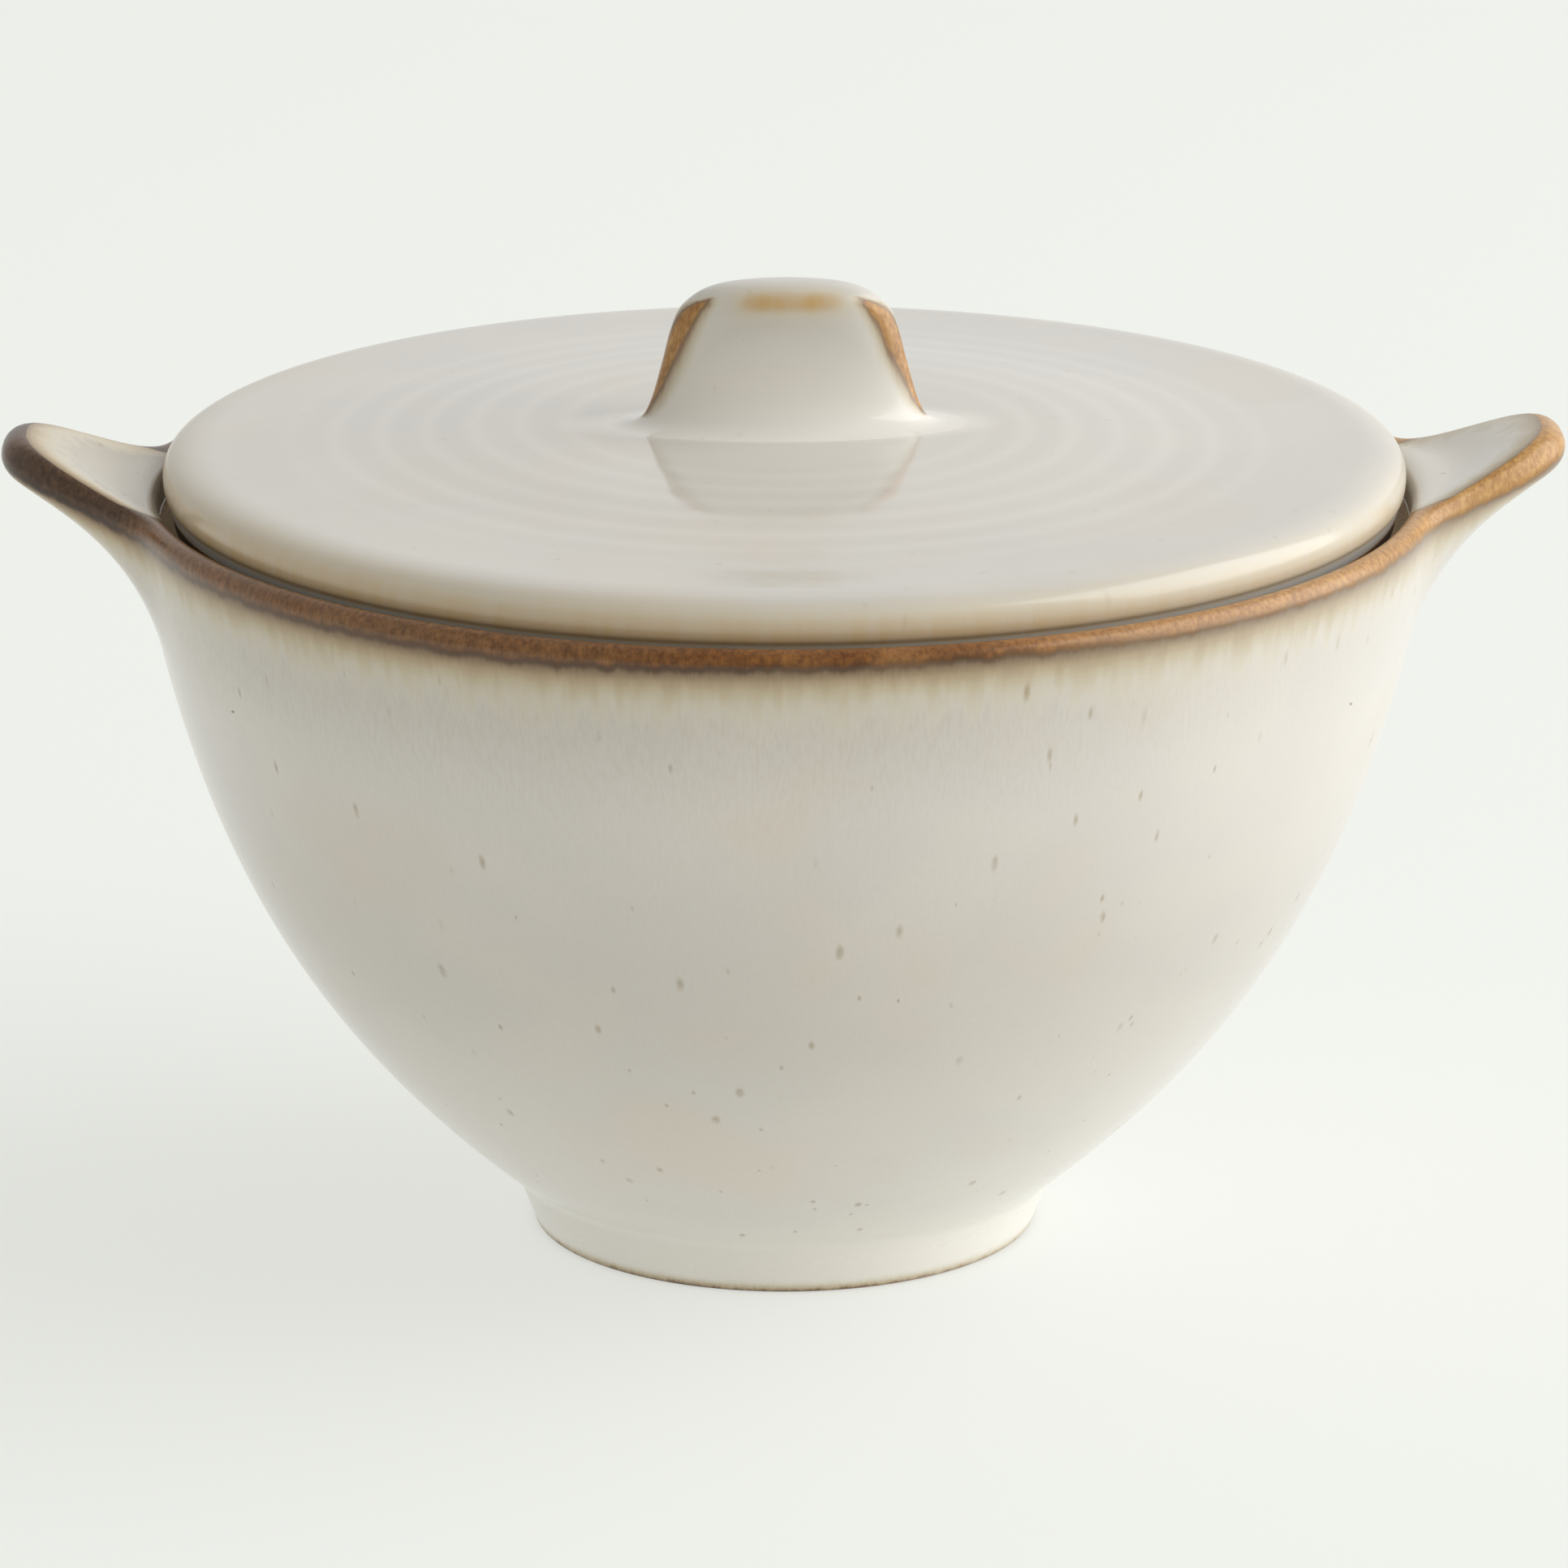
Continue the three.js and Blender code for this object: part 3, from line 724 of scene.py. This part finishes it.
def make_lid(material):
    """Plate, locating flange and knob cut from one skin."""
    outline, (flange_first, flange_last) = lid_outline()
    skin, knob_first = lid_skin(outline)
    flange_middle = (FLANGE_INNER + FLANGE_RADIUS) / 2

    plate = Piece(skin)
    plate.band(0, flange_first)
    plate.seal(flange_first, flange_last, [(flange_middle, LEDGE_HEIGHT + 0.8)])
    plate.band(flange_last, knob_first)
    plate.cap(knob_first, 1.2, True)
    plate.build("glazed_lid_plate", "lid", ["lid_plate"], material)

    flange = Piece(skin)
    flange.band(flange_first, flange_last)
    flange.seal(flange_last, flange_first, [(flange_middle, LEDGE_HEIGHT + 0.4)])
    flange.build("lid_flange_ring", "lid", ["lid_locating_flange"], material)

    knob = Piece(skin)
    knob.band(knob_first, len(skin.points) - 1)
    knob.cap(knob_first, 0.5, False)
    knob.build("glazed_pinch_knob", "lid", ["lid_knob"], material)


# ---------------------------------------------------------------- materials

def srgb(red, green, blue):
    """A display colour out of 255 as the linear colour that a shader takes."""
    linear = [(c / 255 / 12.92) if c <= 10 else ((c / 255 + 0.055) / 1.055) ** 2.4
              for c in (red, green, blue)]
    return (*linear, 1.0)


class Graph:
    """Short calls for the nodes of one material."""

    def __init__(self, name):
        self.material = bpy.data.materials.new(name)
        self.material.use_nodes = True
        self.nodes = self.material.node_tree.nodes
        self.links = self.material.node_tree.links
        self.shader = self.nodes["Principled BSDF"]
        self.coordinates = None

    def put(self, socket, value):
        """Link an output to a socket, or set the socket to a constant."""
        if isinstance(value, bpy.types.NodeSocket):
            self.links.new(value, socket)
        else:
            socket.default_value = value

    def math(self, operation, first, second, clamp=False):
        """A calculation on two values, kept within 0 and 1 where clamp is set."""
        node = self.nodes.new("ShaderNodeMath")
        node.operation = operation
        node.use_clamp = clamp
        self.put(node.inputs[0], first)
        self.put(node.inputs[1], second)
        return node.outputs[0]

    def add(self, first, second):
        return self.math("ADD", first, second)

    def times(self, first, second):
        return self.math("MULTIPLY", first, second)

    def swing(self, noise, amount):
        """Noise turned into a swing round zero, over the given amount in all."""
        return self.times(self.math("SUBTRACT", noise, 0.5), amount)

    def step(self, value, low, high, start=0.0, end=1.0):
        """start below low, end above high, smooth between."""
        node = self.nodes.new("ShaderNodeMapRange")
        node.interpolation_type = "SMOOTHSTEP"
        for socket, entry in zip(node.inputs, (value, low, high, start, end)):
            self.put(socket, entry)
        return node.outputs[0]

    def mix(self, share, first, second):
        """Two colours mixed by the second one's share."""
        node = self.nodes.new("ShaderNodeMix")
        node.data_type = "RGBA"
        self.put(node.inputs["Factor"], share)
        self.put(node.inputs[6], first)
        self.put(node.inputs[7], second)
        return node.outputs[2]

    def mix_value(self, share, first, second):
        """Two values mixed by the second one's share."""
        node = self.nodes.new("ShaderNodeMix")
        self.put(node.inputs[0], share)
        self.put(node.inputs[2], first)
        self.put(node.inputs[3], second)
        return node.outputs[0]

    def ramp(self, value, positions, colours):
        """A colour by value, given the colour at each position."""
        node = self.nodes.new("ShaderNodeValToRGB")
        elements = node.color_ramp.elements
        for _ in positions[2:]:
            elements.new(0.5)
        for element, position, colour in zip(elements, positions, colours):
            element.position = position
            element.color = srgb(*colour)
        self.put(node.inputs[0], value)
        return node.outputs[0]

    def attribute(self, name):
        """A value that the meshes carry."""
        node = self.nodes.new("ShaderNodeAttribute")
        node.attribute_name = name
        return node.outputs["Fac"]

    def texture(self, kind, cell, shift):
        """A texture over object coordinates that are counted in cells of the given (x, y, z) size in
        millimetres and moved by shift cells."""
        if self.coordinates is None:
            self.coordinates = self.nodes.new("ShaderNodeTexCoord").outputs["Object"]
        mapping = self.nodes.new("ShaderNodeMapping")
        self.put(mapping.inputs["Vector"], self.coordinates)
        mapping.inputs["Location"].default_value = (shift, shift, shift)
        mapping.inputs["Scale"].default_value = [1 / (size * MM) for size in cell]
        node = self.nodes.new(kind)
        self.put(node.inputs["Vector"], mapping.outputs[0])
        node.inputs["Scale"].default_value = 1.0
        return node

    def noise(self, cell, detail=2.0, roughness=0.5, shift=0.0):
        """Noise from 0 to 1 whose blotches are about as big as the cell."""
        node = self.texture("ShaderNodeTexNoise", cell, shift)
        node.inputs["Detail"].default_value = detail
        node.inputs["Roughness"].default_value = roughness
        return node.outputs["Fac"]

    def specks(self, cell, size, share, shift=0.0):
        """0 to 1 where sparse soft specks lie: size is a share of the cell, share of cells that hold one."""
        node = self.texture("ShaderNodeTexVoronoi", cell, shift)
        split = self.nodes.new("ShaderNodeSeparateColor")
        self.put(split.inputs[0], node.outputs["Color"])
        chosen = self.math("LESS_THAN", split.outputs[0], share)
        reach = self.times(self.add(split.outputs[1], 0.5), size)
        spot = self.step(self.math("DIVIDE", node.outputs["Distance"], reach), 0.15, 1.0, 1.0, 0.0)
        return self.times(spot, chosen)


# Where the band's colours change with its warmth, from dark brown to gold, and those colours
WARMTHS = (0.0, 0.22, 0.47, 0.65, 1.0)
BAND_DARK = ((58, 42, 29), (98, 66, 36), (90, 50, 12), (128, 86, 44), (166, 118, 62))
BAND_LIGHT = ((98, 72, 52), (146, 104, 64), (140, 88, 32), (180, 128, 74), (208, 164, 102))
BAND_FRINGE = ((56, 43, 33), (86, 62, 42), (66, 40, 14), (116, 84, 50), (154, 116, 72))
# Colours of the halo past the band, by share of its reach
HALO_SHARES = (0.0, 0.10, 0.22, 0.40, 0.65, 1.0)
HALO_COLOURS = ((104, 82, 58), (142, 120, 92), (172, 152, 122), (192, 178, 150), (206, 196, 174),
                (216, 210, 194))
# Depths in the band between which it turns to the painted shade of the gap
GAP_SHADE_START, GAP_SHADE_END = 6.5, 8.0


def glaze_material(name, white, roughness, speck_strength, streak_strength, softness, fringe_mm):
    """White glaze that thins to gold and brown where break_mm falls to zero and below; softness is
    how wide the band's border is and fringe_mm how far its dark fringe reaches, in millimetres."""
    g = Graph(name)
    break_mm = g.attribute("break_mm")
    gold = g.attribute("gold")
    tan = g.attribute("tan")
    pool_and_painted_shading = g.attribute("pool_and_painted_shading")

    # Thick glaze: faint cloudy tints, and fine vertical streaks that fade away from the edges
    clouds = g.noise((26, 26, 20), 3.0)
    cool = (white[0] * 0.965, white[1] * 0.972, white[2] * 0.985, 1.0)
    warm = (white[0] * 0.99, white[1] * 0.955, white[2] * 0.92, 1.0)
    base = g.mix(g.step(clouds, 0.40, 0.62), cool, white)
    base = g.mix(g.step(g.noise((34, 34, 26), shift=7.3), 0.50, 0.70, 0.0, 0.85), base, warm)
    streaks = g.noise((0.42, 0.42, 7.0), 3.0, 0.6)
    broad = g.noise((2.2, 2.2, 14.0), shift=3.1)
    near_edge = g.step(break_mm, 2.0, 26.0, 1.0, 0.25)
    duller = g.step(gold, 0.5, 0.95, streak_strength, 0.35 * streak_strength)
    base = g.mix(g.times(g.step(streaks, 0.35, 0.75, 0.0, duller), near_edge), base, srgb(176, 162, 134))
    base = g.mix(g.times(g.step(break_mm, 2.0, 22.0, 1.4, 0.0), duller), base, srgb(168, 160, 140))
    # Lighter where the pool attribute is above zero, darker where below: real glaze pooling, painted light
    # and painted shade
    base = g.mix(g.math("MULTIPLY", pool_and_painted_shading, 0.85, True), base, srgb(237, 234, 227))
    base = g.mix(g.math("MULTIPLY", pool_and_painted_shading, -0.5, True), base, srgb(154, 144, 122))

    # Distance from the band, broken up by the streaks, and the tinted halo past the band
    from_band = g.add(break_mm, g.add(g.swing(streaks, 0.5), g.swing(broad, 1.5)))
    depth = g.times(from_band, -1.0)
    reach = g.times(g.attribute("halo_mm"), g.step(broad, 0.3, 0.7, 0.8, 1.3))
    halo = g.math("DIVIDE", from_band, reach)
    halo_share = g.times(g.step(halo, 0.25, 1.3, 1.0, 0.0), g.step(gold, 0.5, 0.95, 1.0, 0.8))
    colour = g.mix(halo_share, base, g.ramp(halo, HALO_SHARES, HALO_COLOURS))

    # The band: dark fringe at its border, amber to golden brown in its middle
    mottle = g.noise((0.9, 0.9, 1.1), 4.0, 0.65, 5.0)
    slow = g.noise((9, 9, 9), shift=6.0)
    warmth = g.math("ADD", gold, g.swing(slow, 0.5), True)
    lightness = g.step(g.add(mottle, g.swing(streaks, 0.5)), 0.22, 0.82)
    amber = g.mix(lightness, g.ramp(warmth, WARMTHS, BAND_DARK), g.ramp(warmth, WARMTHS, BAND_LIGHT))
    amber = g.mix(g.step(depth, 0.0, fringe_mm), g.ramp(warmth, WARMTHS, BAND_FRINGE), amber)
    colour = g.mix(g.step(from_band, -softness, softness, 1.0, 0.0), colour, amber)
    # Painted shade: dark brown deep in the gap between lid and rim
    colour = g.mix(g.step(depth, GAP_SHADE_START, GAP_SHADE_END), colour, srgb(74, 54, 38))

    # Golden tint where the glaze is thin but not broken
    tan_share = g.math("MULTIPLY", tan, g.step(broad, 0.25, 0.7, 0.75, 1.0), True)
    golden = g.mix(g.step(tan, 0.4, 1.0), srgb(208, 192, 160), srgb(198, 166, 114))
    colour = g.mix(tan_share, colour, golden)

    # Iron specks, drawn out downwards, and fine pinholes
    specks = g.math("MAXIMUM", g.specks((3.8, 3.8, 12.5), 0.15, 0.5),
                    g.specks((2.4, 2.4, 7.0), 0.15, 0.2, 4.0))
    specks = g.times(specks, g.step(mottle, 0.25, 0.6, 0.4, 1.0))
    specks = g.times(specks, g.step(from_band, 2.0, 5.0))
    colour = g.mix(g.times(specks, speck_strength), colour, srgb(152, 134, 102))
    pinholes = g.specks((1.9, 1.9, 1.9), 0.05, 0.10, 9.0)
    colour = g.mix(g.times(pinholes, 0.35), colour, srgb(140, 126, 104))

    # Bare stoneware where the kiln shelf and the seat touched
    bare = g.step(g.add(g.attribute("clay"), g.swing(mottle, 0.3)), 0.4, 0.6)
    grain = g.step(g.noise((0.5, 0.5, 0.5), 3.0), 0.35, 0.65)
    colour = g.mix(bare, colour, g.mix(grain, srgb(186, 160, 126), srgb(206, 184, 152)))
    g.put(g.shader.inputs["Base Color"], colour)

    # Duller where the glaze is thin, and most so in the gap and on bare clay
    rough = g.add(g.step(from_band, 3.0, 12.0, 0.12, 0.0),
                  g.step(clouds, 0.3, 0.7, roughness, roughness + 0.03))
    rough = g.add(rough, g.step(depth, GAP_SHADE_START, GAP_SHADE_END, 0.0, 0.5))
    g.put(g.shader.inputs["Roughness"], g.mix_value(bare, rough, 0.75))
    g.shader.inputs["IOR"].default_value = 1.5

    # Orange peel, streaks that run in the band, grog in the bare clay, and the pinholes' pits
    peel = g.noise((3.2, 3.2, 3.2), 1.0, shift=2.0)
    runs = g.times(streaks, g.step(from_band, -1.0, 6.0, 0.5, 0.06))
    grog = g.times(g.noise((0.4, 0.4, 0.4)), g.times(bare, 1.5))
    relief = g.add(g.add(g.times(peel, 0.45), runs), grog)
    relief = g.math("SUBTRACT", relief, g.times(pinholes, 0.3))
    bump = g.nodes.new("ShaderNodeBump")
    bump.inputs["Distance"].default_value = 0.05 * MM
    bump.inputs["Strength"].default_value = 0.5
    g.put(bump.inputs["Height"], relief)
    g.put(g.shader.inputs["Normal"], bump.outputs[0])
    return g.material


# ---------------------------------------------------------------- stage, light and camera

FLOOR_COLOUR = (0.33, 0.338, 0.325, 1.0)
FLOOR_GLOW = (0.566, 0.575, 0.551, 1.0)
# Half the floor's side, and the softbox, in metres and watts
FLOOR_HALF = 6.0
KEY_PLACE = (1.8, -0.05, 1.0)
KEY_TARGET = (0, 0, 0.07)
KEY_SIZE = 2.3
KEY_POWER = 39.0
# The room's light: its tint behind and in front, and its strength overhead and at the left
ROOM_BEHIND = (1.0, 1.0, 0.985, 1.0)
ROOM_IN_FRONT = (0.68, 0.645, 0.555, 1.0)
ROOM_OVERHEAD = 0.62
ROOM_LEFT = 0.58

CAMERA_TARGET = Vector((-0.06, 0.0, 60.4)) * MM
CAMERA_DISTANCE = 1225.5 * MM
CAMERA_AZIMUTH = math.radians(-1.5)
CAMERA_ELEVATION = math.radians(16.25)
CAMERA_LENS = 209.6


def make_floor():
    """A wide floor of plain pale paper that glows like a light table."""
    g = Graph("pale_floor")
    g.shader.inputs["Base Color"].default_value = FLOOR_COLOUR
    g.shader.inputs["Emission Color"].default_value = FLOOR_GLOW
    g.shader.inputs["Emission Strength"].default_value = 1.0
    g.shader.inputs["Roughness"].default_value = 0.9
    g.shader.inputs["Specular IOR Level"].default_value = 0.0
    mesh = bpy.data.meshes.new("floor")
    corners = [(x * FLOOR_HALF, y * FLOOR_HALF, 0) for x, y in ((-1, -1), (1, -1), (1, 1), (-1, 1))]
    mesh.from_pydata(corners, [], [(0, 1, 2, 3)])
    mesh.materials.append(g.material)
    floor = bpy.data.objects.new("floor", mesh)
    bpy.context.scene.collection.objects.link(floor)


def make_room():
    """A white room, less bright overhead, in front and to the left."""
    world = bpy.data.worlds.new("surround")
    world.use_nodes = True
    nodes, links = world.node_tree.nodes, world.node_tree.links
    split = nodes.new("ShaderNodeSeparateXYZ")
    links.new(nodes.new("ShaderNodeTexCoord").outputs["Generated"], split.inputs[0])

    def between(axis, low, high, start, end):
        """start where the direction's axis is below low, end above high, smooth between."""
        node = nodes.new("ShaderNodeMapRange")
        node.interpolation_type = "SMOOTHSTEP"
        links.new(split.outputs[axis], node.inputs[0])
        for socket, number in zip(list(node.inputs)[1:5], (low, high, start, end)):
            socket.default_value = number
        return node.outputs[0]

    strength = nodes.new("ShaderNodeMath")
    strength.operation = "MULTIPLY"
    links.new(between("Z", 0.66, 0.86, 1.0, ROOM_OVERHEAD), strength.inputs[0])
    links.new(between("X", -0.9, 0.9, ROOM_LEFT, 1.0), strength.inputs[1])
    tint = nodes.new("ShaderNodeMix")
    tint.data_type = "RGBA"
    links.new(between("Y", -0.95, 0.0, 1.0, 0.0), tint.inputs[0])
    tint.inputs[6].default_value = ROOM_BEHIND
    tint.inputs[7].default_value = ROOM_IN_FRONT
    background = nodes["Background"]
    links.new(tint.outputs[2], background.inputs["Color"])
    links.new(strength.outputs[0], background.inputs["Strength"])
    bpy.context.scene.world = world


def make_key_light():
    """A square softbox at the right."""
    light = bpy.data.lights.new("key_right", "AREA")
    light.size = KEY_SIZE
    light.energy = KEY_POWER
    obj = bpy.data.objects.new("key_right", light)
    obj.location = KEY_PLACE
    towards = Vector(KEY_TARGET) - Vector(KEY_PLACE)
    obj.rotation_euler = towards.to_track_quat("-Z", "Y").to_euler()
    bpy.context.scene.collection.objects.link(obj)


def make_camera():
    """The photograph's view: a long lens from the front, a little above."""
    camera = bpy.data.cameras.new("camera")
    camera.lens = CAMERA_LENS
    camera.sensor_width = 36.0
    obj = bpy.data.objects.new("camera", camera)
    flat = math.cos(CAMERA_ELEVATION)
    away = Vector((math.sin(CAMERA_AZIMUTH) * flat, -math.cos(CAMERA_AZIMUTH) * flat,
                   math.sin(CAMERA_ELEVATION)))
    obj.location = CAMERA_TARGET + CAMERA_DISTANCE * away
    obj.rotation_euler = (-away).to_track_quat("-Z", "Y").to_euler()
    bpy.context.scene.collection.objects.link(obj)
    bpy.context.scene.camera = obj
    bpy.context.scene.view_settings.view_transform = "Standard"


# ---------------------------------------------------------------- the scene

vessel_glaze = glaze_material("vessel_glaze", white=srgb(219, 214, 207), roughness=0.15,
                              speck_strength=0.6, streak_strength=0.24, softness=0.6, fringe_mm=1.3)
lid_glaze = glaze_material("lid_glaze", white=srgb(212, 208, 200), roughness=0.08,
                           speck_strength=0.15, streak_strength=0.05, softness=0.8, fringe_mm=0.4)
make_camera()
make_vessel(vessel_glaze)
make_lid(lid_glaze)
make_floor()
make_room()
make_key_light()
